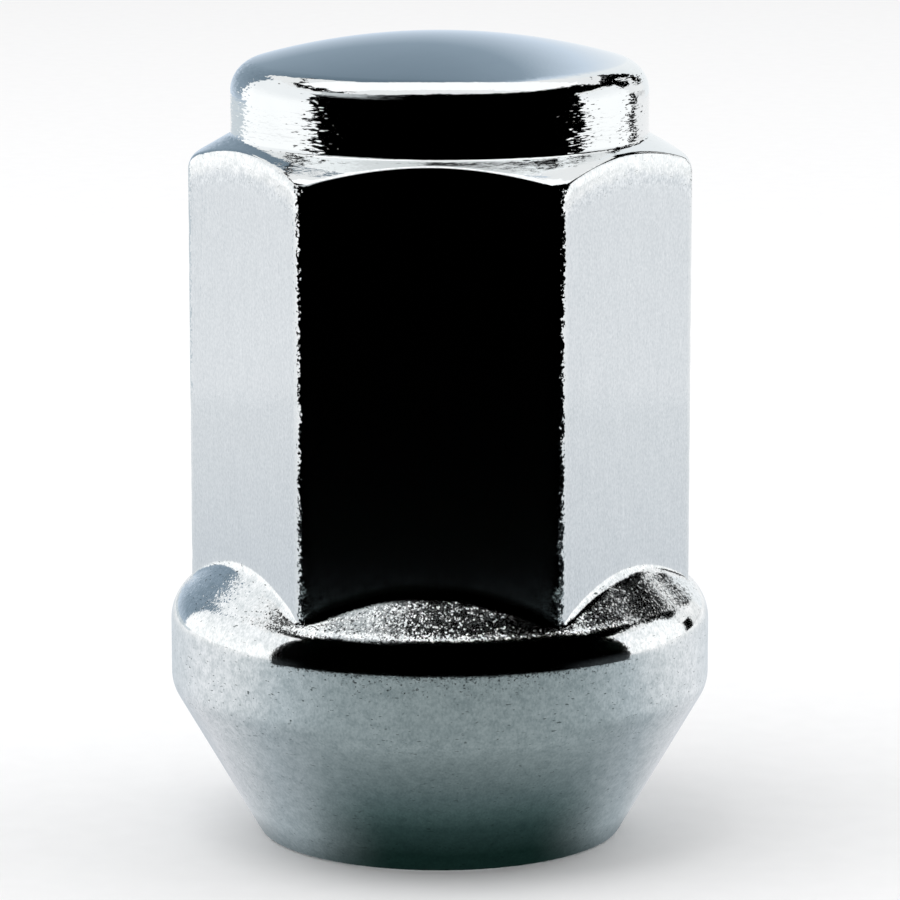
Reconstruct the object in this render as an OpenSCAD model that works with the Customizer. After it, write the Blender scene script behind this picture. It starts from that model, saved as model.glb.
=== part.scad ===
/* [Overall] */
// Height of the nut from its small end to the top of the dome
total_h = 35; // [32:0.5:45]

/* [Hexagon] */
// Width across the flats, which the spanner grips
across_flats = 19; // [17:0.5:24]
// Radius along the six upright corners
corner_r = 0.6; // [0.3:0.1:1.2]
// Angle of the turned chamfer above the flats, from level
chamfer_angle = 30; // [20:1:40]
// Radius between the chamfer and the upright corners
chamfer_edge_r = 0.9; // [0.4:0.1:1.2]

/* [Cap] */
// Height of the cap above the middle of the flats
cap_h = 4.6; // [4:0.1:7]
// Step between the flats and the cap wall
cap_step = 0.5; // [0.35:0.05:1.5]
// Radius of the domed top
dome_r = 29.5; // [22:0.5:45]
// Radius between the dome and the cap wall
rim_r = 1.4; // [0.6:0.1:2]
// Radius in the neck between the cap wall and the chamfer
neck_r = 0.25; // [0.15:0.05:0.4]

/* [Bulge] */
// Reach of the bulge beyond the corners of the hexagon
bulge_reach = 0.88; // [0.6:0.02:1.6]
// Height of the upright wall of the bulge
bulge_wall = 2.3; // [1:0.1:5]
// Radius of the lip on top of the bulge
lip_r = 1.9; // [1.8:0.1:2.6]
// Width of the ledge between the corners and the crease above the lip
ledge_w = 0.14; // [0.1:0.02:0.3]
// Slope of the run-out that carries the flats into the bulge, from level
runout_angle = 45; // [35:1:55]

/* [Seat] */
// Height of the conical seat, up to the wall of the bulge
seat_h = 7.15; // [5:0.05:9]
// Full angle of the conical seat
seat_angle = 60; // [50:1:70]
// Radius between the seat and the wall of the bulge
seat_blend_r = 1.65; // [0.8:0.05:3]
// Radius around the small end
end_r = 0.3; // [0.1:0.05:0.5]

/* [Stud hole] */
// Outer diameter of the thread
thread_d = 12; // [11:0.5:12]
// Diameter of the hole drilled before the thread is cut
drill_d = 10.5; // [8:0.1:10.8]
// Metal left between the drill's point and the top of the dome
top_wall = 4.8; // [3:0.1:8]
// Length of the drilled hole that stays without thread
plain_l = 3; // [1:0.5:6]
// Width of the bevel at the mouth of the hole
mouth_bevel = 0.55; // [0.3:0.05:0.7]
// Full angle of the drill's point
drill_point = 118; // [90:1:140]

/* [Hidden] */

// Segments of each rounded stretch of the outline
dome_steps = 10;
round_steps = 6;
// Sides of the turned surfaces
$fn = 96;

// Hexagon: centre circle and reach of its rounded corners
corner_centre = (across_flats / 2 - corner_r) / cos(30);
corner_reach = corner_centre + corner_r;

// Cap: wall radius, centre of the dome and centre of the rim's radius
cap_r = across_flats / 2 - cap_step;
dome_z = total_h - dome_r;
rim_x = cap_r - rim_r;
rim_z = dome_z + sqrt(pow(dome_r - rim_r, 2) - pow(rim_x, 2));
rim_angle = atan2(rim_z - dome_z, rim_x);

// Chamfer: a cone through the middle of each flat's upper edge
shoulder_z = total_h - cap_h;
function chamfer_z(x) = shoulder_z - (x - across_flats / 2) * tan(chamfer_angle);
// Neck: its radius touches the cap wall and the chamfer
neck_x = cap_r + neck_r;
neck_z = chamfer_z(neck_x) + neck_r / cos(chamfer_angle);
// Outer edge of the chamfer: its radius touches an upright just outside the corners
edge_gap = 0.02;
edge_limit = corner_reach + edge_gap;
edge_x = edge_limit - chamfer_edge_r;
edge_z = chamfer_z(edge_x) - chamfer_edge_r / cos(chamfer_angle);

// Bulge: wall, lip and the crease where the run-out ends
bulge_r = corner_reach + bulge_reach;
bulge_top = seat_h + bulge_wall;
lip_x = bulge_r - lip_r;
crease_x = corner_reach + ledge_w;
crease_angle = acos((crease_x - lip_x) / lip_r);
crease_z = bulge_top + lip_r * sin(crease_angle);
// The run-out rises inside the hexagon, past the middle of the flats
runout_cover = 0.6;
runout_x = across_flats / 2 - runout_cover;
runout_z = crease_z + (crease_x - runout_x) * tan(runout_angle);
// The hexagon starts this far below the crease, inside the bulge
hex_root = 1;

// Seat: cone from the bulge down to the small end, with a radius at both ends
half_seat = seat_angle / 2;
blend_x = bulge_r - seat_blend_r;
cone_top_x = blend_x + seat_blend_r * cos(half_seat);
cone_top_z = seat_h - seat_blend_r * sin(half_seat);
end_x = cone_top_x - (end_r + (cone_top_z - end_r) * sin(half_seat)) / cos(half_seat);

// Stud hole: mouth, thread, plain stretch and drill point
thread_r = thread_d / 2;
drill_r = drill_d / 2;
point_h = drill_r / tan(drill_point / 2);
drill_l = total_h - top_wall - point_h;
thread_l = drill_l - plain_l;
// Length that a cut runs past the face that it opens
past = 1;

// Points along an arc about centre c, from angle a0 to a1
function arc(c, r, a0, a1, steps) =
    [for (i = [0:steps]) let (a = a0 + (a1 - a0) * i / steps) c + r * [cos(a), sin(a)]];

// Outline of the hexagon with rounded corners
module hexagon() {
    polygon([
        for (k = [0:5])
            let (a = 60 * k)
            for (p = arc(corner_centre * [cos(a), sin(a)], corner_r, a - 30, a + 30, round_steps)) p
    ]);
}

// Half section of the turned upper part: dome, rim, cap wall, neck and chamfer
module upper_section() {
    polygon(concat(
        [[0, bulge_top]],
        [[edge_limit, bulge_top]],
        arc([edge_x, edge_z], chamfer_edge_r, 0, 90 - chamfer_angle, round_steps),
        arc([neck_x, neck_z], neck_r, 270 - chamfer_angle, 180, round_steps),
        arc([rim_x, rim_z], rim_r, 0, rim_angle, round_steps),
        arc([0, dome_z], dome_r, rim_angle, 90, dome_steps)
    ));
}

// Half section of the bulge and its conical seat
module lower_section() {
    polygon(concat(
        [[0, 0]],
        arc([end_x, end_r], end_r, -90, -half_seat, round_steps),
        arc([blend_x, seat_h], seat_blend_r, -half_seat, 0, round_steps),
        arc([lip_x, bulge_top], lip_r, 0, crease_angle, round_steps),
        [[runout_x, runout_z], [0, runout_z]]
    ));
}

// Hexagon with its chamfer and the cap that rises out of it
module hexagon_and_cap() {
    intersection() {
        translate([0, 0, crease_z - hex_root])
            linear_extrude(total_h)
                hexagon();
        rotate_extrude()
            upper_section();
    }
}

// Threaded blind hole, open at the small end
module stud_hole() {
    translate([0, 0, -past])
        cylinder(r = drill_r, h = drill_l + past);
    translate([0, 0, drill_l])
        cylinder(r1 = drill_r, r2 = 0, h = point_h);
    translate([0, 0, -past])
        cylinder(r = thread_r, h = thread_l + past);
    translate([0, 0, thread_l])
        cylinder(r1 = thread_r, r2 = drill_r, h = thread_r - drill_r);
    translate([0, 0, -past])
        cylinder(r1 = thread_r + mouth_bevel + past, r2 = thread_r, h = mouth_bevel + past);
}

module cap_nut() {
    color("silver")
        difference() {
            union() {
                rotate_extrude()
                    lower_section();
                hexagon_and_cap();
            }
            stud_hole();
        }
}

cap_nut();
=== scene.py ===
from math import acos, atan2, cos, degrees, hypot, pi, radians, sin, sqrt, tan

import bmesh
import bpy
from mathutils import Matrix, Vector, noise


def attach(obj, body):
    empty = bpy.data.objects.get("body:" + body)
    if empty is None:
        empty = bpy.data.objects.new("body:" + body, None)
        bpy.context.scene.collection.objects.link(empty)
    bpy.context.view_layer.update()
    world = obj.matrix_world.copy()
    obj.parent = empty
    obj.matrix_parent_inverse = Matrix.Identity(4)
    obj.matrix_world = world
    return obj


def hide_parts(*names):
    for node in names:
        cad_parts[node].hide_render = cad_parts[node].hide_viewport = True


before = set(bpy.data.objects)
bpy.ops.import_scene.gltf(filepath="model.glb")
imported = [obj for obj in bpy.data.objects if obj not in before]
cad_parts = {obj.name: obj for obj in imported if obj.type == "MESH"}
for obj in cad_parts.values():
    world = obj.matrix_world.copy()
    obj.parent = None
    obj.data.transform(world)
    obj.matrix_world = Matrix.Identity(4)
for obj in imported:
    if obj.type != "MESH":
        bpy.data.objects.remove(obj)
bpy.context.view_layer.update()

# Metres in a millimetre: every shape is built in millimetres and scaled when it is finished
MM = 0.001
# Points of a shape that are closer together than this become one
WELD = 0.001
# The same where the thread is cut, which leaves points a little further apart
CUT_WELD = 0.002
# Small distance by which a limit stays clear of the faces beside it
HAIR = 0.02

# The nut's own sizes in millimetres and degrees, the same as its solid has
HEIGHT = 35
ACROSS_FLATS = 19
CORNER_R = 0.6
CHAMFER_ANGLE = 30
CHAMFER_EDGE_R = 0.9
EDGE_GAP = 0.02
CAP_H = 4.6
CAP_STEP = 0.5
DOME_R = 29.5
RIM_R = 1.4
NECK_R = 0.25
BULGE_REACH = 0.88
BULGE_WALL = 2.3
LIP_R = 1.9
LEDGE_W = 0.14
RUNOUT_ANGLE = 45
SEAT_H = 7.15
HALF_SEAT = 30
SEAT_BLEND_R = 1.65
END_R = 0.3
THREAD_R = 6
DRILL_R = 5.25
TOP_WALL = 4.8
PLAIN_L = 3
MOUTH_BEVEL = 0.55
DRILL_POINT = 118

# Hexagon: angle that a side takes up, centre circle and reach of its rounded corners
SIDE = radians(60)
HALF_SIDE = SIDE / 2
CORNER_CENTRE = (ACROSS_FLATS / 2 - CORNER_R) / cos(HALF_SIDE)
CORNER_REACH = CORNER_CENTRE + CORNER_R
# Half the angle that a rounded corner takes up, seen from the nut's axis
CORNER_SPAN = atan2(CORNER_R * sin(HALF_SIDE), CORNER_CENTRE + CORNER_R * cos(HALF_SIDE))

# Cap: wall, dome and rim
CAP_R = ACROSS_FLATS / 2 - CAP_STEP
DOME_Z = HEIGHT - DOME_R
RIM_X = CAP_R - RIM_R
RIM_Z = DOME_Z + sqrt((DOME_R - RIM_R) ** 2 - RIM_X ** 2)
RIM_ANGLE = degrees(atan2(RIM_Z - DOME_Z, RIM_X))

# Chamfer: its cone, the radius at its outer edge and the neck that it leads to
CHAMFER_SIN = sin(radians(CHAMFER_ANGLE))
CHAMFER_COS = cos(radians(CHAMFER_ANGLE))
SHOULDER_Z = HEIGHT - CAP_H
EDGE_X = CORNER_REACH + EDGE_GAP - CHAMFER_EDGE_R
EDGE_TURN_X = EDGE_X + CHAMFER_EDGE_R * CHAMFER_SIN


def chamfer_line(x):
    """Height of the chamfer's cone at the distance x from the axis."""
    return SHOULDER_Z - (x - ACROSS_FLATS / 2) * CHAMFER_SIN / CHAMFER_COS


EDGE_Z = chamfer_line(EDGE_X) - CHAMFER_EDGE_R / CHAMFER_COS
NECK_X = CAP_R + NECK_R
NECK_Z = chamfer_line(NECK_X) + NECK_R / CHAMFER_COS
NECK_END_X = NECK_X - NECK_R * CHAMFER_SIN

# Bulge: wall, lip, the crease above it and the slope that runs out to the crease
BULGE_R = CORNER_REACH + BULGE_REACH
BULGE_TOP = SEAT_H + BULGE_WALL
LIP_X = BULGE_R - LIP_R
CREASE_X = CORNER_REACH + LEDGE_W
CREASE_ANGLE = degrees(acos((CREASE_X - LIP_X) / LIP_R))
CREASE_Z = BULGE_TOP + LIP_R * sin(radians(CREASE_ANGLE))
RUNOUT_SLOPE = tan(radians(RUNOUT_ANGLE))

# Seat: its cone ends in a radius at both ends
SEAT_SIN = sin(radians(HALF_SEAT))
SEAT_COS = cos(radians(HALF_SEAT))
BLEND_X = BULGE_R - SEAT_BLEND_R
SEAT_TOP_X = BLEND_X + SEAT_BLEND_R * SEAT_COS
SEAT_TOP_Z = SEAT_H - SEAT_BLEND_R * SEAT_SIN
END_X = SEAT_TOP_X - (END_R + (SEAT_TOP_Z - END_R) * SEAT_SIN) / SEAT_COS

# Stud hole: mouth, thread, a step down to the drill's radius, plain stretch and point
MOUTH_R = THREAD_R + MOUTH_BEVEL
POINT_H = DRILL_R / tan(radians(DRILL_POINT / 2))
DRILL_L = HEIGHT - TOP_WALL - POINT_H
THREAD_L = DRILL_L - PLAIN_L
STEP_Z = THREAD_L + THREAD_R - DRILL_R

# Thread: pitch, half the angle between its flanks and radius of its crests
PITCH = 1.5
FLANK_ANGLE = radians(30)
CREST_R = 5.19
# Radius of its foot, which is set a little into the wall, and where it starts
THREAD_FOOT_R = THREAD_R + 0.05
THREAD_START = -0.2
# Height above which it runs out, and the radius that it keeps to there
THREAD_END_Z = THREAD_L - 0.2
THREAD_END_R = DRILL_R + 0.05
# Its turns, and the faces round each of them
TURNS = 17
TURN_STEPS = 96

# Columns of faces round the nut, in half a side, and in half a corner
COLUMNS = 288
HALF_SIDE_COLUMNS = COLUMNS // 12
CORNER_COLUMNS = 6
# How closely the other columns crowd beside a corner
CROWDING = 1.6

# Half the angle, seen from the axis, over which a corner is torn by forging
TORN_SPAN = radians(2.4)
# Nicks that the same forging left: depth where the noise is 1, and length along the corner
NICK_DEPTH = 0.036
NICK_LENGTH = 0.9
# How far apart the corners lie in that noise, so that no two are alike
NICK_SPREAD = 20

# Stretches of the section: the first is plainly turned, and the others follow the hexagon
TURNED, CHAMFER, EDGE, FLAT, FOOT, RUNOUT = range(6)
# Longest rounding of the chamfer's edge and of the foot of the flats
EDGE_SOFTNESS = 0.14
FOOT_SOFTNESS = 0.22
# Most of the chamfer, and of the run-out, that such a rounding takes up
EDGE_SHARE = 0.4
FOOT_SHARE = 0.5
# Share of the flats' height, at their top, over which the brushing fades in
BROW = 0.075


def new_piece(name, bm, *finishes):
    """Makes a finished piece from a shape in millimetres."""
    bmesh.ops.scale(bm, vec=(MM, MM, MM), verts=bm.verts)
    mesh = bpy.data.meshes.new(name)
    bm.to_mesh(mesh)
    bm.free()
    mesh.shade_smooth()
    for finish in finishes:
        mesh.materials.append(finish)
    piece = bpy.data.objects.new(name, mesh)
    bpy.context.scene.collection.objects.link(piece)
    return piece


def arc(x, z, radius, start, end, steps):
    """Points along an arc, its angles in degrees."""
    turn = [radians(start + (end - start) * i / steps) for i in range(steps + 1)]
    return [(x + radius * cos(a), z + radius * sin(a)) for a in turn]


def line(start, end, steps):
    """Points along a straight stretch, the first one left out."""
    return [tuple(Vector(start).lerp(Vector(end), i / steps)) for i in range(1, steps + 1)]


def rounded(start, corner, end, t):
    """Point on the soft curve that takes the place of a sharp corner."""
    return start.lerp(corner, t).lerp(corner.lerp(end, t), t)


def chamfer_z(x):
    """Height of the chamfer, with the radius at its outer edge."""
    if x < EDGE_TURN_X:
        return chamfer_line(x)
    return EDGE_Z + sqrt(CHAMFER_EDGE_R ** 2 - (x - EDGE_X) ** 2)


def hexagon_reach(angle):
    """Distance from the axis to the hexagon at this angle from a corner."""
    if abs(angle) < CORNER_SPAN:
        return CORNER_CENTRE * cos(angle) + sqrt(CORNER_R ** 2 - (CORNER_CENTRE * sin(angle)) ** 2)
    return ACROSS_FLATS / 2 / cos(HALF_SIDE - abs(angle))


def hexagon_point(stretch, t, reach):
    """Section point where the hexagon reaches this far, t along one of the hexagon's stretches.

    The brow is where the chamfer meets the flat, and the root where the flat meets the run-out.
    """
    edge = min(EDGE_SOFTNESS, EDGE_SHARE * (reach - NECK_END_X))
    foot = min(FOOT_SOFTNESS, FOOT_SHARE * (CREASE_X - reach))
    brow = Vector((reach, chamfer_z(reach)))
    brow_in = Vector((reach - edge, chamfer_z(reach - edge)))
    brow_down = brow - Vector((0, edge))
    root = Vector((reach, CREASE_Z + (CREASE_X - reach) * RUNOUT_SLOPE))
    root_up = root + Vector((0, foot))
    root_out = root + Vector((foot, -foot * RUNOUT_SLOPE))
    if stretch == CHAMFER:
        x = NECK_END_X + (reach - edge - NECK_END_X) * t
        return Vector((x, chamfer_z(x)))
    if stretch == EDGE:
        return rounded(brow_in, brow, brow_down, t)
    if stretch == FLAT:
        return brow_down.lerp(root_up, t)
    if stretch == FOOT:
        return rounded(root_up, root, root_out, t)
    return root_out.lerp(Vector((CREASE_X, CREASE_Z)), t)


def nut_section():
    """The nut's half section, down the outside from the top of the dome and up the bore to its point.

    Each entry is the point, its stretch, its place t along that, and how its surface was worked:
    the shares of brushing, turning and forging.
    """
    polished, turned, brushed, forged = (0, 0, 0), (0, 1, 0), (1, 0, 0), (0, 0, 0.75)
    section = []

    def add(points, work, stretch=TURNED):
        for i, p in enumerate(points):
            section.append((p, stretch, (i + 1) / len(points), work))

    add(arc(0, DOME_Z, DOME_R, 90, RIM_ANGLE, 14), polished)
    add(arc(RIM_X, RIM_Z, RIM_R, RIM_ANGLE, 0, 12)[1:], (0, 0.7, 0))
    add(line((CAP_R, RIM_Z), (CAP_R, NECK_Z), 8), turned)
    add(arc(NECK_X, NECK_Z, NECK_R, 180, 270 - CHAMFER_ANGLE, 5)[1:], turned)
    for stretch, steps, work in (
        (CHAMFER, 8, (0, 0.6, 0)),
        (EDGE, 6, (0, 0.2, 0.2)),
        (FLAT, 64, brushed),
        (FOOT, 6, (0.3, 0, 0.5)),
        (RUNOUT, 8, forged),
    ):
        points = [hexagon_point(stretch, (i + 1) / steps, ACROSS_FLATS / 2) for i in range(steps)]
        add([tuple(p) for p in points], work, stretch)
    for i, (p, stretch, t, _) in enumerate(section):
        if stretch == FLAT and t < BROW:
            section[i] = (p, stretch, t, (t / BROW, 0, 0.2))
    # The forged skin is smoother towards the outside of the lip
    for i, p in enumerate(arc(LIP_X, BULGE_TOP, LIP_R, CREASE_ANGLE, 0, 14)[1:]):
        add([p], (0, 0, max(0.25, 0.8 - 0.15 * i)))
    add(line((BULGE_R, BULGE_TOP), (BULGE_R, SEAT_H), 7), (0, 0, 0.4))
    add(arc(BLEND_X, SEAT_H, SEAT_BLEND_R, 0, -HALF_SEAT, 8)[1:], (0, 0, 0.3))
    seat_end = (END_X + END_R * SEAT_COS, END_R - END_R * SEAT_SIN)
    add(line((SEAT_TOP_X, SEAT_TOP_Z), seat_end, 14), (0, 0, 0.2))
    add(arc(END_X, END_R, END_R, -HALF_SEAT, -90, 6)[1:], (0, 0.5, 0.5))
    add(line((END_X, 0), (MOUTH_R, 0), 4), turned)
    add(line((MOUTH_R, 0), (THREAD_R, MOUTH_BEVEL), 3), turned)
    add(line((THREAD_R, MOUTH_BEVEL), (THREAD_R, THREAD_L), 16), turned)
    add(line((THREAD_R, THREAD_L), (DRILL_R, STEP_Z), 3), turned)
    add(line((DRILL_R, STEP_Z), (DRILL_R, DRILL_L), 4), turned)
    add(line((DRILL_R, DRILL_L), (0, DRILL_L + POINT_H), 8), turned)
    return section


def crowded(angle):
    """Moves evenly spaced columns closer together beside a corner; the angle is taken from it."""
    share = abs(angle) / HALF_SIDE * HALF_SIDE_COLUMNS
    if share <= CORNER_COLUMNS:
        moved = CORNER_SPAN * share / CORNER_COLUMNS
    else:
        rest = (share - CORNER_COLUMNS) / (HALF_SIDE_COLUMNS - CORNER_COLUMNS)
        moved = CORNER_SPAN + (HALF_SIDE - CORNER_SPAN) * rest ** CROWDING
    return moved if angle > 0 else -moved


def in_bore(face):
    """Whether the face is one of the stud hole's."""
    centre = face.calc_center_median()
    return hypot(centre.x, centre.y) < THREAD_R + HAIR and centre.z < HEIGHT - TOP_WALL + HAIR


def make_nut(plate, bore_finish):
    """Spins the section round the axis, then lays its hexagon stretches on the hexagon."""
    bm = bmesh.new()
    stretch_of = bm.verts.layers.int.new("stretch")
    t_of = bm.verts.layers.float.new("along")
    work_of = [bm.verts.layers.float.new(name) for name in ("brushed", "turned", "forged")]
    corner_of = bm.verts.layers.float.new("corner")
    chain = []
    for (x, z), stretch, t, work in nut_section():
        v = bm.verts.new((x, 0, z))
        v[stretch_of] = stretch
        v[t_of] = t
        for layer, share in zip(work_of, work):
            v[layer] = share
        chain.append(v)
    edges = [bm.edges.new(pair) for pair in zip(chain, chain[1:])]
    bmesh.ops.spin(bm, geom=chain + edges, axis=(0, 0, 1), cent=(0, 0, 0), angle=2 * pi,
                   steps=COLUMNS, use_merge=True)
    bmesh.ops.remove_doubles(bm, verts=bm.verts, dist=WELD)
    for v in bm.verts:
        x, y, z = v.co
        radius = hypot(x, y)
        if radius < WELD:
            continue
        turn = atan2(y, x)
        corner = round(turn / SIDE) * SIDE
        from_corner = crowded(turn - corner)
        turn = corner + from_corner
        if v[stretch_of] != TURNED:
            radius, z = hexagon_point(v[stretch_of], v[t_of], hexagon_reach(from_corner))
            if v[stretch_of] in (EDGE, FLAT, FOOT):
                v[corner_of] = max(0, 1 - abs(from_corner) / TORN_SPAN)
                place = Vector((cos(corner) * NICK_SPREAD, sin(corner) * NICK_SPREAD, z / NICK_LENGTH))
                radius -= NICK_DEPTH * v[corner_of] * max(0, noise.noise(place))
        v.co = radius * cos(turn), radius * sin(turn), z
    bmesh.ops.recalc_face_normals(bm, faces=bm.faces)
    # The second finish is the bore's
    for face in bm.faces:
        face.material_index = int(in_bore(face))
    nut = new_piece("nut_body", bm, plate, bore_finish)
    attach(nut, "root")
    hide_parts("cap_nut")


def make_thread(bore_finish):
    """The helical ridge of the right-hand thread, its foot set into the wall of the hole."""
    bm = bmesh.new()
    # Half the ridge's width at its crest, and at its foot
    crest = PITCH / 8
    foot = crest + (THREAD_FOOT_R - CREST_R) * tan(FLANK_ANGLE)
    upper = [(THREAD_FOOT_R, foot)] + line((THREAD_FOOT_R, foot), (CREST_R, crest), 6)
    lower = [(x, -z) for x, z in reversed(upper)]
    ring = [bm.verts.new((x, 0, z + THREAD_START)) for x, z in upper + lower]
    edges = [bm.edges.new(pair) for pair in zip(ring, ring[1:] + ring[:1])]
    bmesh.ops.spin(bm, geom=ring + edges, axis=(0, 0, 1), cent=(0, 0, 0), angle=2 * pi,
                   dvec=(0, 0, PITCH / TURN_STEPS), steps=TURN_STEPS)
    one_turn = bm.verts[:] + bm.edges[:] + bm.faces[:]
    for turn in range(1, TURNS):
        copy = bmesh.ops.duplicate(bm, geom=one_turn)["geom"]
        bmesh.ops.translate(bm, vec=(0, 0, turn * PITCH),
                            verts=[v for v in copy if isinstance(v, bmesh.types.BMVert)])
    bmesh.ops.remove_doubles(bm, verts=bm.verts, dist=WELD)
    for v in bm.verts:
        radius = hypot(v.co.x, v.co.y)
        # The mouth's bevel cuts the first turn, and the last one runs out in the step above the thread
        least = MOUTH_R - v.co.z
        if v.co.z > THREAD_END_Z:
            least = max(least, THREAD_END_R)
        if radius < least:
            v.co.xy *= least / radius
    bmesh.ops.bisect_plane(bm, geom=bm.verts[:] + bm.edges[:] + bm.faces[:], dist=CUT_WELD,
                           plane_co=(0, 0, MOUTH_BEVEL), plane_no=(0, 0, -1), clear_outer=True)
    bmesh.ops.remove_doubles(bm, verts=bm.verts, dist=CUT_WELD)
    bmesh.ops.holes_fill(bm, edges=[e for e in bm.edges if e.is_boundary])
    bmesh.ops.recalc_face_normals(bm, faces=bm.faces)
    thread = new_piece("stud_thread", bm, bore_finish)
    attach(thread, "root")


BLACK = (0.0, 0.0, 0.0)
WHITE = (1.0, 1.0, 1.0)
# Sockets of a Mix node that hold its two colours and the mixed one
MIX_A, MIX_B, MIXED = 6, 7, 2


class Signal:
    """A number that changes over a surface; sums, products and the like add their Math nodes."""

    def __init__(self, tree, socket):
        self.tree = tree
        self.socket = socket

    def math(self, operation, *values, clamp=False):
        out = add_node(self.tree, "Math", {"operation": operation, "use_clamp": clamp},
                       dict(enumerate(values)))
        return Signal(self.tree, out.outputs[0])

    def __add__(self, other):
        return self.math("ADD", self, other)

    def __sub__(self, other):
        return self.math("SUBTRACT", self, other)

    def __rsub__(self, other):
        return self.math("SUBTRACT", other, self)

    def __mul__(self, other):
        return self.math("MULTIPLY", self, other)

    def __truediv__(self, other):
        return self.math("DIVIDE", self, other)

    def __pow__(self, other):
        return self.math("POWER", self, other)

    def __abs__(self):
        return self.math("ABSOLUTE", self)

    __radd__ = __add__
    __rmul__ = __mul__

    def clamped(self):
        """Kept between 0 and 1."""
        return self.math("ADD", self, 0, clamp=True)

    def step(self, low, high):
        """0 below low, 1 above high, smooth between them."""
        out = add_node(self.tree, "MapRange", {"interpolation_type": "SMOOTHSTEP"},
                       {"Value": self, "From Min": low, "From Max": high})
        return Signal(self.tree, out.outputs[0])


def add_node(tree, kind, settings=(), sockets=()):
    """Adds a node: its settings are set first, then the values or links of its sockets."""
    node = tree.nodes.new("ShaderNode" + kind)
    for name, value in dict(settings).items():
        if name == "stops":
            while len(node.color_ramp.elements) < len(value):
                node.color_ramp.elements.new(1)
            for stop, (place, colour) in zip(node.color_ramp.elements, value):
                stop.position = place
                stop.color = with_alpha(colour)
        else:
            setattr(node, name, value)
    for key, value in dict(sockets).items():
        if isinstance(value, Signal):
            value = value.socket
        if isinstance(value, bpy.types.NodeSocket):
            tree.links.new(value, node.inputs[key])
        else:
            node.inputs[key].default_value = value
    return node


def with_alpha(colour):
    """A written colour with its alpha added; a colour that comes from a node stays as it is."""
    return (*colour, 1) if isinstance(colour, tuple) else colour


class Finish:
    """The nodes of one finish."""

    def __init__(self, owner):
        self.owner = owner
        owner.use_nodes = True
        self.tree = owner.node_tree
        self.tree.nodes.clear()

    def node(self, kind, settings=(), sockets=()):
        return add_node(self.tree, kind, settings, sockets)

    def signal(self, socket):
        return Signal(self.tree, socket)

    def share(self, name):
        """A share that the mesh carries, such as how much of it was brushed."""
        return self.signal(self.node("Attribute", {"attribute_name": name}).outputs["Fac"])

    def place(self, scale=(1, 1, 1)):
        """The place on the piece in millimetres, stretched by scale."""
        coords = self.node("TexCoord").outputs["Object"]
        return self.node("Mapping", {}, {"Vector": coords, "Scale": [s / MM for s in scale]}).outputs[0]

    def axes(self):
        """The place on the piece in millimetres, as one number for each axis."""
        split = self.node("SeparateXYZ", {}, {"Vector": self.place()})
        return [self.signal(out) for out in split.outputs]

    def grain(self, size, stretch=(1, 1, 1), detail=2, roughness=0.5):
        """Cloudy noise around zero, with blobs of this size in millimetres before they are stretched."""
        scale = [0.5 / (size * s) for s in stretch]
        out = self.node("TexNoise", {"normalize": True}, {
            "Vector": self.place(scale), "Scale": 1, "Detail": detail, "Roughness": roughness})
        return self.signal(out.outputs[0]) - 0.5

    def mix(self, factor, a, b, blend="MIX"):
        """Colour a where the factor is 0 and, when they are simply mixed, b where it is 1."""
        out = self.node("Mix", {"data_type": "RGBA", "blend_type": blend}, {
            "Factor": factor, MIX_A: with_alpha(a), MIX_B: with_alpha(b)})
        return out.outputs[MIXED]

    def ramp(self, value, *stops):
        """The colour that belongs to the value, between stops of a value and its colour."""
        return self.node("ValToRGB", {"stops": stops}, {"Fac": value}).outputs[0]

    def vector(self, operation, *values):
        out = self.node("VectorMath", {"operation": operation}, dict(enumerate(values)))
        return out.outputs[0]

    def scaled(self, vector, share):
        """The vector times a share that may change over the surface."""
        out = self.node("VectorMath", {"operation": "SCALE"}, {0: vector, "Scale": share})
        return out.outputs[0]

    @property
    def normal(self):
        return self.node("NewGeometry").outputs["Normal"]

    def facets(self, size, share):
        """Tilts of tiny flat grains of this size in millimetres, by up to the share.

        Each grain has its own tilt, and most of them tilt only a little.
        """
        cells = self.node("TexVoronoi", {"feature": "F1"}, {"Vector": self.place(), "Scale": 1 / size})
        tilt = self.vector("MULTIPLY_ADD", cells.outputs["Color"], (2.0, 2.0, 2.0), (-1.0, -1.0, -1.0))
        cubed = self.vector("MULTIPLY", self.vector("MULTIPLY", tilt, tilt), tilt)
        return self.scaled(cubed, share)

    def dashes(self, sway):
        """Tilts round the nut's axis, such as a turned surface has."""
        return self.scaled(self.vector("CROSS_PRODUCT", (0.0, 0.0, 1.0), self.normal), sway)

    def bump(self, height, *tilts):
        """Surface relief on normals that are tilted first; the height is in micrometres."""
        normal = self.normal
        for tilt in tilts:
            normal = self.vector("ADD", normal, tilt)
        return self.node("Bump", {}, {"Height": height, "Distance": MM * MM, "Strength": 1,
                                      "Normal": self.vector("NORMALIZE", normal)}).outputs[0]

    def surface(self, shader, output="OutputMaterial"):
        """Ends the finish with its shader."""
        self.node(output, {}, {"Surface": shader.outputs[0]})
        return self.owner

    def metal(self, colour, rough, normal):
        """Ends the finish as bare metal."""
        return self.surface(self.node("BsdfPrincipled", {}, {
            "Base Color": colour, "Metallic": 1.0, "Roughness": rough, "Normal": normal}))

    def glow(self, colour, strength=1.0):
        """Ends the finish as one that sheds light of this colour."""
        return self.surface(self.node("Emission", {}, {"Color": with_alpha(colour), "Strength": strength}))


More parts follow.
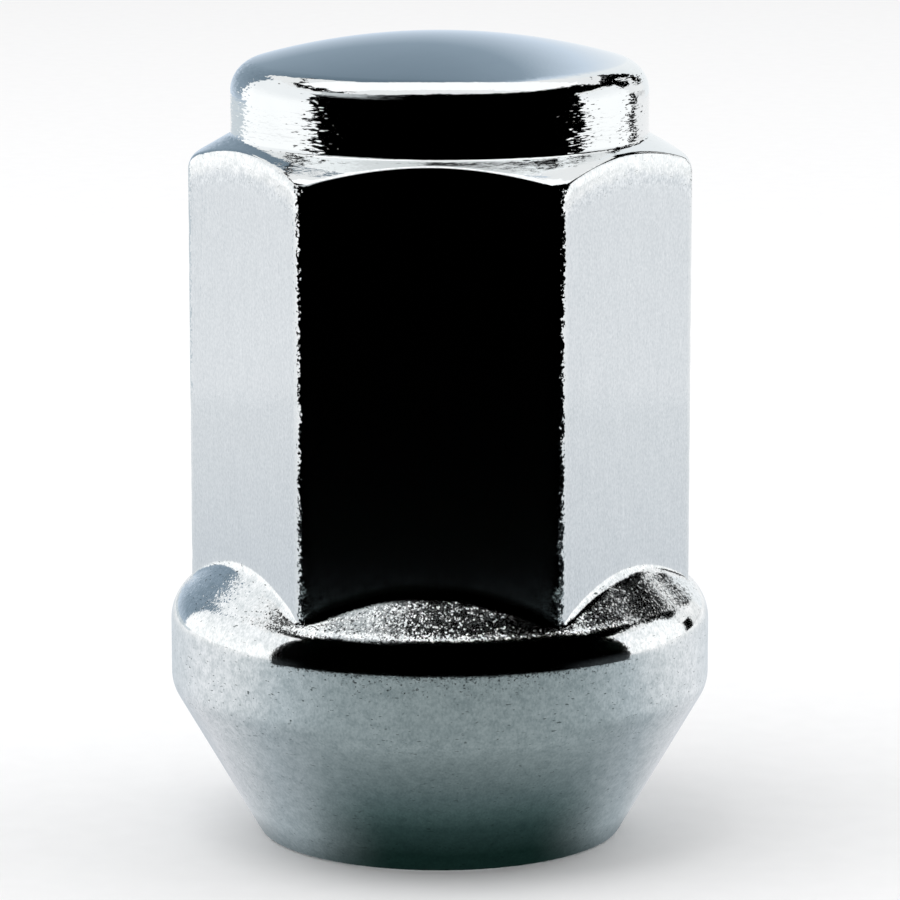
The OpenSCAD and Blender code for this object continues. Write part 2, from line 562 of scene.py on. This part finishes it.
def chrome_plate():
    """Bright plate over metal that was forged, turned and brushed, with those marks showing through."""
    f = Finish(bpy.data.materials.new("chrome_plate"))
    brushed, turned, forged = f.share("brushed"), f.share("turned"), f.share("forged")
    corner = f.share("corner")

    # Relief in micrometres: upright streaks on the flats, marks round the turned parts, pits and a slow
    # swell in the forged skin, torn metal along the corners, and a faint ripple all over
    streaks = f.grain(0.07, (1, 1, 16))
    satin = f.grain(0.09, (1, 1, 3))
    rings = f.grain(0.055, (8, 8, 1))
    dents = f.grain(0.09, (2.2, 2.2, 1))
    pits = f.grain(0.045, (1.3, 1.3, 1), detail=1)
    torn = f.grain(0.06, (1, 1, 2.2), detail=3, roughness=0.6)
    tears = f.grain(0.25, (1, 1, 2.6), detail=1)
    swell = f.grain(1.4, detail=1)
    height = (brushed * (streaks * 3.5 + satin * 2) + turned * (rings * 3 + dents * 4)
              + forged * (pits * 1.2 + swell * 8) + corner * (torn * 14 + tears * 25)
              + f.grain(0.08))

    # Sideways tilts: short dashes, mostly faint, on the turned parts, and teeth along the corners
    fine = f.grain(0.035, (6, 6, 1))
    waver = f.grain(0.3, (2, 2, 1), detail=1)
    teeth = f.grain(0.07)
    sway = (turned * (fine * abs(fine) * 3.4 + waver * 0.12)
            + corner * (teeth * 1.7 + tears * 0.7))

    # Where the flats are burnished by the brush, and how rough each kind of surface is
    cloud = f.grain(0.7, detail=3)
    patchy = f.grain(0.25, (1.6, 1.6, 1), detail=4, roughness=0.7)
    brush = (brushed * 3 - 1 + patchy * 2.4).clamped() * (1 - corner)
    rough = (0.05 + brush * (0.035 + satin * 0.06) + forged * (0.05 + cloud * 0.06)
             + forged * forged * 0.05 + turned * 0.02).clamped()

    # Colour: a bright and a darker tone of the plate, greyer ones on the brushed flats, and dark flecks
    speck = f.grain(0.05, (1, 1, 1.4), detail=1)
    mottle = f.grain(0.2, (1.3, 1.3, 1), detail=3, roughness=0.7)
    worn = (forged * 4).clamped()
    tone = (cloud * 0.2 + worn * (speck * 1.6 + mottle * 2.2) + 0.55
            + (streaks * 0.4 + speck * 1.2) * brush).clamped()
    fleck = (f.grain(0.04, (3.5, 3.5, 1), detail=1) + cloud * 0.25).step(0.2, 0.25)
    colour = f.mix(tone, (0.62, 0.66, 0.67), (0.93, 0.945, 0.95))
    colour = f.mix(brush, colour, f.mix(tone, (0.53, 0.57, 0.6), (0.75, 0.785, 0.81)))
    colour = f.mix((fleck * forged * 2.5).clamped(), colour, (0.2, 0.22, 0.22))
    grains = f.facets(0.07, forged * forged * 0.15)
    return f.metal(colour, rough, f.bump(height, grains, f.dashes(sway)))


def bore_plate():
    """The thin, dull plate that reaches into the stud hole."""
    f = Finish(bpy.data.materials.new("bore_plate"))
    rings = f.grain(0.05, (8, 8, 1))
    cloud = f.grain(0.8, detail=3)
    colour = f.mix((cloud + 0.5).clamped(), (0.36, 0.36, 0.35), (0.55, 0.55, 0.55))
    return f.metal(colour, 0.38 + cloud * 0.2, f.bump(rings * 3))


# The floor lies just clear of the nut's end face, and the hole in it, hidden under the nut, lights the bore
FLOOR_DROP = 0.02
FLOOR_HOLE_R = 7.7
FLOOR_R = 2500

# Degrees by which the nut's front flat is turned from the camera. The studio's angles are degrees too, taken
# from the camera's side of the nut, and positive to the camera's right
NUT_TURN = 2.4
FROM_CAMERA = Matrix.Rotation(radians(NUT_TURN), 3, "Z")
# The camera: its place on that side in millimetres, its lens, and degrees of its pitch and its turn
CAMERA_PLACE = Vector((0.42, -205, 55.8))
LENS = 191.5
PITCH_DOWN = 10.77
CAMERA_TURN = 2.393

# Distances of the cards from the nut's axis
SHEET_R = 115
FLAG_R = 150
STRIP_R = 228
SOFTBOX_R = 232
PAPER_R = 300
# Height of the card of painted floor light and shade above the floor, and the radius from which its painted
# contact shadow is counted
SHEET_Z = 0.06
CONTACT_SHADOW_R = 8
# Degrees that a face of a curved card takes up, unless it would have fewer than this many faces
CARD_FACE = 4
FEWEST_FACES = 4

# How brightly the white air lights the floor; the camera and the plate see it as full white
AIR_LIGHT = 0.82
# Width of a lamp in metres
LAMP_SIZE = 0.5


def lit_cloth():
    """Lit cloth of a softbox, a little dimmer higher up."""
    f = Finish(bpy.data.materials.new("lit_cloth"))
    _, _, z = f.axes()
    return f.glow(f.mix(z.step(50, 130), WHITE, (0.87, 0.88, 0.89)), 1.22)


def painted_floor_shade():
    """Card of painted floor light and shade under the nut, seen only in the plate: painted shade in front, a
    painted contact shadow at its foot, painted light at the sides, white far out behind.
    """
    f = Finish(bpy.data.materials.new("painted_floor_shade"))
    x, y, _ = f.axes()
    radius = (x * x + y * y) ** 0.5
    # About -1 in front and 1 behind, and a little more at the left than at the right, so that the painted
    # shade is a little darker at the right
    around = (y - x * 0.18) / radius
    # Painted light and shade round the nut: darkest in front, palest at the sides and a little behind them,
    # greyer straight behind
    painted_light_round = f.ramp(
        around * 0.5 + 0.5,
        (0.0, (0.255, 0.304, 0.312)),
        (0.15, (0.315, 0.37, 0.385)),
        (0.32, (0.49, 0.55, 0.58)),
        (0.5, (0.73, 0.765, 0.79)),
        (0.7, (0.86, 0.88, 0.91)),
        (1.0, (0.6, 0.66, 0.71)))
    # Painted contact shadow round the nut's foot: the sheet darkens over the last 5.6 mm in front, and over
    # the last 22 mm elsewhere
    front_contact_shadow = f.ramp(
        (radius - CONTACT_SHADOW_R) * 0.18,
        (0.1, (0.025, 0.06, 0.05)),
        (0.3, (0.09, 0.15, 0.14)),
        (0.42, (0.2, 0.28, 0.27)),
        (0.55, (0.34, 0.41, 0.41)),
        (0.8, (0.68, 0.71, 0.71)),
        (1.0, WHITE))
    side_contact_shadow = f.ramp(
        (radius - CONTACT_SHADOW_R) * 0.045,
        (0.0, (0.45, 0.47, 0.48)),
        (0.04, (0.78, 0.79, 0.8)),
        (0.15, (0.8, 0.8, 0.81)),
        (1.0, WHITE))
    # The painted contact shadow, the front one in front and the side one elsewhere, laid over the painted
    # shade round the nut
    foot = f.mix((around * -1).step(0.5, 0.95), side_contact_shadow, front_contact_shadow)
    colour = f.mix(1.0, painted_light_round, foot, "MULTIPLY")
    # The card glows with this painted light and shade, which turns to white floor far out behind
    return f.glow(f.mix(radius.step(20, 115) * around.step(-0.4, 0.1), colour, (0.96, 0.97, 0.98)))


def back_paper():
    """Paper behind the nut, white at its foot and blue grey higher up, white again at the right."""
    f = Finish(bpy.data.materials.new("back_paper"))
    x, _, z = f.axes()
    return f.glow(f.ramp(
        z * (1 / 330) - x * (1 / 800) - x.step(-20, 110) * 0.7 + 0.07,
        (0.0, (0.95, 0.98, 1.0)),
        (0.2, (0.66, 0.76, 0.88)),
        (0.45, (0.29, 0.37, 0.45)),
        (0.9, (0.16, 0.22, 0.275))))


def black_cloth():
    """Black cloth that catches a little light low down at both sides, and more at its upper left edge."""
    f = Finish(bpy.data.materials.new("black_cloth"))
    x, y, z = f.axes()
    side = x / (x * x + y * y) ** 0.5
    low = (side * side).step(0.55, 0.95) * (1 - z.step(1, 15))
    high = (side * -1).step(0.3, 0.85) * z.step(47.3, 49)
    return f.glow(f.mix(high, f.mix(low, BLACK, (0.035, 0.04, 0.043)), (0.66, 0.69, 0.7)))


def even_card(name, colour, strength=1.0):
    """The finish of an evenly lit card."""
    return Finish(bpy.data.materials.new(name)).glow(colour, strength)


def only_reflected(card):
    """The card shows in the plate alone: it isn't seen, and neither lights nor shades the floor."""
    card.visible_camera = False
    card.visible_diffuse = False
    card.visible_transmission = False
    card.visible_shadow = False
    # Rays off the plate find the card without being aimed at it
    card.active_material.cycles.emission_sampling = "NONE"


def upright(radius, *heights):
    """Points above each other at one distance from the axis."""
    return [(radius, z) for z in heights]


def spun_card(name, points, left, right, finish, left_spread=0, right_spread=0):
    """A curved card: a chain of points, spun round the nut's axis from the angle left to the angle right.

    Its upper edge may be spread wider to both sides.
    """
    bm = bmesh.new()
    chain = [bm.verts.new((x, 0, z)) for x, z in points]
    edges = [bm.edges.new(pair) for pair in zip(chain, chain[1:])]
    # The camera's side is where the frame's own angle is -90 degrees, turned on with the nut
    start = Matrix.Rotation(radians(left + NUT_TURN - 90), 3, "Z")
    bmesh.ops.rotate(bm, verts=chain, cent=(0, 0, 0), matrix=start)
    bmesh.ops.spin(bm, geom=chain + edges, axis=(0, 0, 1), cent=(0, 0, 0), angle=radians(right - left),
                   steps=max(FEWEST_FACES, int((right - left) / CARD_FACE)))
    top = max(z for _, z in points)
    for v in bm.verts:
        if v.co.z > top - HAIR:
            side = v.co.x / hypot(v.co.x, v.co.y)
            v.co.xy *= 1 + abs(side) * (right_spread if side > 0 else left_spread)
    only_reflected(new_piece(name, bm, finish))


def level_card(name, left, right, front, back, height, finish):
    """A flat, level card between these limits, as seen from the camera's side."""
    bm = bmesh.new()
    corners = ((left, front), (right, front), (right, back), (left, back))
    bm.faces.new([bm.verts.new((x, y, height)) for x, y in corners])
    bmesh.ops.rotate(bm, verts=bm.verts, cent=(0, 0, 0), matrix=FROM_CAMERA)
    only_reflected(new_piece(name, bm, finish))


def hang_cards():
    """The cards that the plate reflects, white, grey and black."""
    black = even_card("black_card", BLACK)
    white = even_card("soft_white", WHITE, 1.25)
    cloth = lit_cloth()
    # Painted floor light and shade, with a painted contact shadow at the nut's foot
    floor_shade = painted_floor_shade()
    hood = [(56, 0), (59, 18), (54, 32), (40, 43), (15.9, 50)]
    spun_card("black_hood", hood, -68, 79, black_cloth(), left_spread=0.5, right_spread=0.18)
    # Card of painted floor light and shade round the nut, seen only in the plate
    spun_card("painted_floor_shade", [(7.9, SHEET_Z), (SHEET_R, SHEET_Z)], -180, 180, floor_shade)
    spun_card("left_sheet", [(SHEET_R, SHEET_Z), (PAPER_R, SHEET_Z)], -165, -128,
              even_card("left_paper", (0.68, 0.74, 0.78)))
    spun_card("left_softbox", upright(SOFTBOX_R, 0, 60, 215), -135, -74, cloth)
    spun_card("right_softbox", upright(SOFTBOX_R, 0, 60, 150), 84, 125, cloth)
    spun_card("left_flag", upright(FLAG_R, 165, 240), -125, -68, black)
    spun_card("left_line", upright(FLAG_R, 182, 192), -150, -125, black)
    spun_card("right_flag", upright(FLAG_R, 120, 215), 79, 117, black)
    spun_card("right_band", upright(STRIP_R, 95, 150), 124, 137, black)
    spun_card("right_line", upright(STRIP_R, 145, 195), 117, 152, black)
    spun_card("low_strip", upright(STRIP_R, 0, 45), 126, 134, black)
    spun_card("high_strip", upright(STRIP_R, 60, 170), 143, 152, black)
    level_card("top_softbox", -130, 130, -30, 70, 180, white)
    paper = back_paper()
    spun_card("back_paper", arc(0, 0, PAPER_R, 0, 64, 12), 150, 212, paper)
    spun_card("side_paper", arc(0, 0, PAPER_R, 0, 36, 8), 212, 225, paper)


def lay_floor():
    """The pale floor, which is clear from below, so that the nut's underside can be looked at."""
    f = Finish(bpy.data.materials.new("pale_floor"))
    cloud = f.grain(0.8, detail=3)
    colour = f.mix((cloud + 0.5).clamped(), (0.86, 0.86, 0.865), (0.9, 0.9, 0.905))
    pale = f.node("BsdfDiffuse", {}, {"Color": colour})
    from_below = f.node("NewGeometry").outputs["Backfacing"]
    clear = f.node("BsdfTransparent")
    f.surface(f.node("MixShader", {}, {0: from_below, 1: pale.outputs[0], 2: clear.outputs[0]}))
    bm = bmesh.new()
    for radius in (FLOOR_HOLE_R, FLOOR_R):
        bmesh.ops.create_circle(bm, segments=96, radius=radius)
    bmesh.ops.bridge_loops(bm, edges=bm.edges[:])
    bmesh.ops.translate(bm, vec=(0, 0, -FLOOR_DROP), verts=bm.verts)
    for face in bm.faces:
        if face.normal.z < 0:
            face.normal_flip()
    new_piece("floor", bm, f.owner)


def light_air():
    """White air all round, which sheds a little less light on the floor than it shows."""
    world = bpy.data.worlds.new("studio_air")
    bpy.context.scene.world = world
    f = Finish(world)
    path = f.node("LightPath")
    rays = ("Is Camera Ray", "Is Glossy Ray", "Is Transmission Ray")
    camera, glossy, through = (f.signal(path.outputs[ray]) for ray in rays)
    shown = (camera + glossy + through).clamped()
    strength = AIR_LIGHT + shown * (1 - AIR_LIGHT)
    f.surface(f.node("Background", {}, {"Color": with_alpha(WHITE), "Strength": strength}), "OutputWorld")


def hang_lamps():
    """Two soft lamps, each aimed at the nut, with their place in metres and their power in watts."""
    for name, place, power in (
        ("key_light", (-0.25, -0.1, 0.6), 1.5),
        ("fill_light", (0.4, 0.1, 0.5), 0.7),
    ):
        lamp = bpy.data.lights.new(name, "AREA")
        lamp.size = LAMP_SIZE
        lamp.energy = power
        light = bpy.data.objects.new(name, lamp)
        light.location = place
        light.rotation_euler = (-Vector(place)).to_track_quat("-Z", "Y").to_euler()
        light.visible_glossy = False
        bpy.context.scene.collection.objects.link(light)


def set_up_camera():
    """Close above the nut, as the photograph was taken, and pitched down to it."""
    lens = bpy.data.cameras.new("camera")
    lens.sensor_width = 36
    lens.lens = LENS
    lens.clip_start = 0.01
    camera = bpy.data.objects.new("camera", lens)
    camera.location = FROM_CAMERA @ CAMERA_PLACE * MM
    camera.rotation_euler = (radians(90 - PITCH_DOWN), 0, radians(CAMERA_TURN))
    bpy.context.scene.collection.objects.link(camera)
    bpy.context.scene.camera = camera
    bpy.context.scene.view_settings.view_transform = "Standard"


set_up_camera()
hang_cards()
lay_floor()
light_air()
hang_lamps()
bore_finish = bore_plate()
make_nut(chrome_plate(), bore_finish)
make_thread(bore_finish)
